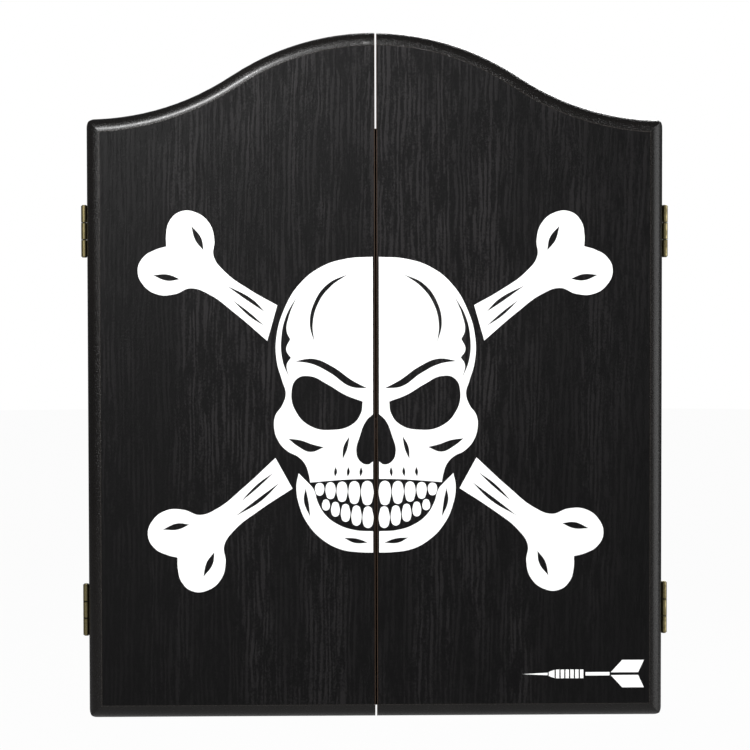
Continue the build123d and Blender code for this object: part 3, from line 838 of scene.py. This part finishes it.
# %% Bones
def bone(upper_start, lower_start, tip, middle, angle, tilt):
    """A bone end from the skull's edge to its two knobs, turned and moved into place."""
    knob = [(64, 12), (49, 17), (41, 29), (29, 38), (14, 38.5), (3, 31), (0.5, 19), (5, 8)]
    shaft = [(upper_start, 15, CORNER), (tip - 92, 12)]
    shaft += [(tip - back, across) for back, across in knob]
    shaft += [(tip - 11, 0, CORNER)]
    shaft += [(tip - back, -across) for back, across in reversed(knob)]
    shaft += [(tip - 92, -12), (lower_start, -15, CORNER)]
    split = [(upper_start + 5, 4, CORNER), (tip - 98, 6.5), (tip - 72, 3, CORNER), (tip - 96, 3.2)]
    lower_split = [
        (lower_start + 9, -6, CORNER), (tip - 104, -6.8), (tip - 84, -4, CORNER), (tip - 102, -4.2),
    ]
    upper_hollow = [(tip - 39, 16, CORNER), (tip - 31, 23.5), (tip - 18, 27, CORNER), (tip - 28, 19)]
    lower_hollow = [(along + 2, -across, *rest) for along, across, *rest in upper_hollow]
    placed = []
    for outline in (shaft, split, lower_split, upper_hollow, lower_hollow):
        points = []
        for along, across, *rest in outline:
            side = along * cos(angle) - across * sin(angle)
            rise = along * sin(angle) + across * cos(angle)
            points.append((side, middle + tilt * rise, *rest))
        placed.append(points)
    return placed


upper_bone = bone(116, 105, 234, 18, radians(36), 1)
lower_bone = bone(104, 99, 230, 16, radians(38.3), -1)
emblem = skull + upper_bone + lower_bone
printed_piece("skull_print_right", "right_door", emblem, DOOR_FRONT, ON_FRONT, ink)
printed_piece("skull_print_left", "left_door", mirrored(emblem), DOOR_FRONT, ON_FRONT, ink)

# %% [markdown]
# ## A small dart
# A plain dart lies in the lower right corner: point, ribbed barrel, shaft and flight. It is drawn
# from its point back along its own middle line, and moved to its place at the end.

# %% Dart mark
DART_POINT = 127.0
DART_HEIGHT = -222.5
RIB_COUNT = 6
RIB_PITCH = 4.2


def bar(left, right, thickness):
    """A straight bar with its middle on the dart's own line."""
    half = thickness / 2
    return [(left, -half), (right, -half), (right, half), (left, half)]


needle = [(0, 0), (22, 1.1), (22, -1.1)]
nose = [(23, -1.8), (28, -3.6), (28, 3.6), (23, 1.8)]
ribs = [bar(29.2 + RIB_PITCH * count, 32.2 + RIB_PITCH * count, 7.6) for count in range(RIB_COUNT)]
stem = bar(55, 76, 3.0)
flight = [(77, 1.2), (87, 12), (106, 12), (101, 1.2)]
lower_flight = [(along, -up) for along, up in flight]
dart = [
    [(DART_POINT + along, DART_HEIGHT + up, CORNER) for along, up in outline]
    for outline in [needle, nose, stem, flight, lower_flight] + ribs
]
printed_piece("dart_print", "right_door", dart, DOOR_FRONT, ON_FRONT, ink)

# %% [markdown]
# ## Ruling paint
# The lines and numbers inside are painted by hand in matt white, which wiping has worn thin in
# specks.

# %% Ruling paint
ruling, tree, shader, where = new_material("ruling_paint", roughness=0.7, specular=0.25)
marks = place_group(tree, handling, Vector=where, Speck_Scale=700.0)
thin_white = blend_colour(tree, marks["Specks"], (0.78, 0.78, 0.76, 1), (0.5, 0.5, 0.49, 1))
tree.links.new(thin_white, shader.inputs["Base Color"])
bump_into(tree, shader, marks["Specks"], 0.3, 0.04 * MM)

# %% [markdown]
# ## Lines, rings and numbers
# Inside each door the writing board is ruled for a common dart game: three columns, with the
# numbers that count in the middle one and a small bull below them. Ruled lines and rings are thin
# outlines again. The numbers are text made into a mesh, turned to face the player once the door
# is open.

# %% Lines, rings and numbers
RULE = 1.4


def ruled_line(x, low, high):
    """A straight upright line."""
    left, right = x - RULE / 2, x + RULE / 2
    return [(left, low, CORNER), (right, low, CORNER), (right, high, CORNER), (left, high, CORNER)]


def ring(middle_x, middle_z, radius):
    """Eight points around a circle."""
    angles = [radians(45 * count) for count in range(8)]
    return [(middle_x + radius * cos(angle), middle_z + radius * sin(angle)) for angle in angles]


def number(label, middle_x, middle_z, size):
    """A painted number that reads from inside the cabinet, as a mesh."""
    text = bpy.data.curves.new("number", "FONT")
    text.body = label
    text.size = size
    text.align_x = "CENTER"
    text.align_y = "CENTER"
    text.extrude = INK_THICKNESS / 2
    text.resolution_u = 4
    mesh = as_mesh("number", text)
    face_inwards = Matrix.Rotation(pi, 4, "Z") @ Matrix.Rotation(pi / 2, 4, "X")
    on_the_board = Matrix.Translation((middle_x, WRITING_FACE + INK_THICKNESS / 2, middle_z))
    mesh.transform(on_the_board @ face_inwards)
    return mesh


# %% [markdown]
# ## Rule the boards
# Both boards get the same columns. The board's own box, divided into eight equal steps, gives
# the heights: the six numbers stand on the first six marks from the top, and the bull on the
# seventh. Lines, rings and numbers are joined into one piece.

# %% Rule the boards
STEPS = 8
MARGIN = 6
COLUMN_SHARES = (0.34, 0.66)
BULL_RADII = (9.5, 6.5, 3.5)
NUMBER_SIZE = 24 * MM


def rule_board(body, sign):
    """Lines, numbers and a bull on one writing board: sign is 1 on the right door, -1 on the left."""
    low, high = board_low / MM, board_high / MM
    middle = (low.x + high.x) / 2
    step = (high.z - low.z) / STEPS
    columns = [low.x + share * (high.x - low.x) for share in COLUMN_SHARES]
    lines = [ruled_line(x, low.z + MARGIN, high.z - MARGIN) for x in columns]
    lines += [ring(middle, low.z + step, radius) for radius in BULL_RADII]
    outlines = lines if sign > 0 else mirrored(lines)
    piece = printed_piece("score_lines_" + body, body, outlines, WRITING_FACE, ON_BACK, ruling)
    joined = bmesh.new()
    joined.from_mesh(piece.data)
    for row, label in enumerate(("20", "19", "18", "17", "16", "15"), start=1):
        figures = number(label, sign * middle * MM, (high.z - step * row) * MM, NUMBER_SIZE)
        joined.from_mesh(figures)
        bpy.data.meshes.remove(figures)
    weld(joined, piece.data)


rule_board("right_door", 1)
rule_board("left_door", -1)

# %% [markdown]
# ## The floor
# The cabinet hangs on a wall, so the floor lies some way below it: plain, pale and matt. The
# camera sees it almost wholly as its own glow, which keeps it as bright as the room behind, while
# the boards see only its grey.

# %% Floor
FLOOR_DROP = 0.34
floor_shape = bmesh.new()
bmesh.ops.create_circle(floor_shape, cap_ends=True, segments=96, radius=14)
floor_mesh = bpy.data.meshes.new("floor")
floor_shape.to_mesh(floor_mesh)
floor_shape.free()
floor_mesh.transform(Matrix.Translation((0, 0, DOOR_FOOT - FLOOR_DROP)))
floor = bpy.data.objects.new("floor", floor_mesh)
bpy.context.scene.collection.objects.link(floor)
pale, tree, shader, where = new_material("pale_floor", roughness=0.8, specular=0.1)
shader.inputs["Base Color"].default_value = (0.42, 0.42, 0.42, 1)
glow = add_node(tree, "ShaderNodeEmission", {"Color": (1, 1, 1, 1), "Strength": 1.0})
camera_ray = tree.nodes.new("ShaderNodeLightPath").outputs["Is Camera Ray"]
share = times(tree, camera_ray, 0.97)
floor_mix = add_node(tree, "ShaderNodeMixShader", {0: share, 1: shader.outputs[0], 2: glow.outputs[0]})
tree.links.new(floor_mix.outputs[0], tree.nodes["Material Output"].inputs["Surface"])
floor_mesh.materials.append(pale)
print("floor at z =", round(DOOR_FOOT - FLOOR_DROP, 3))
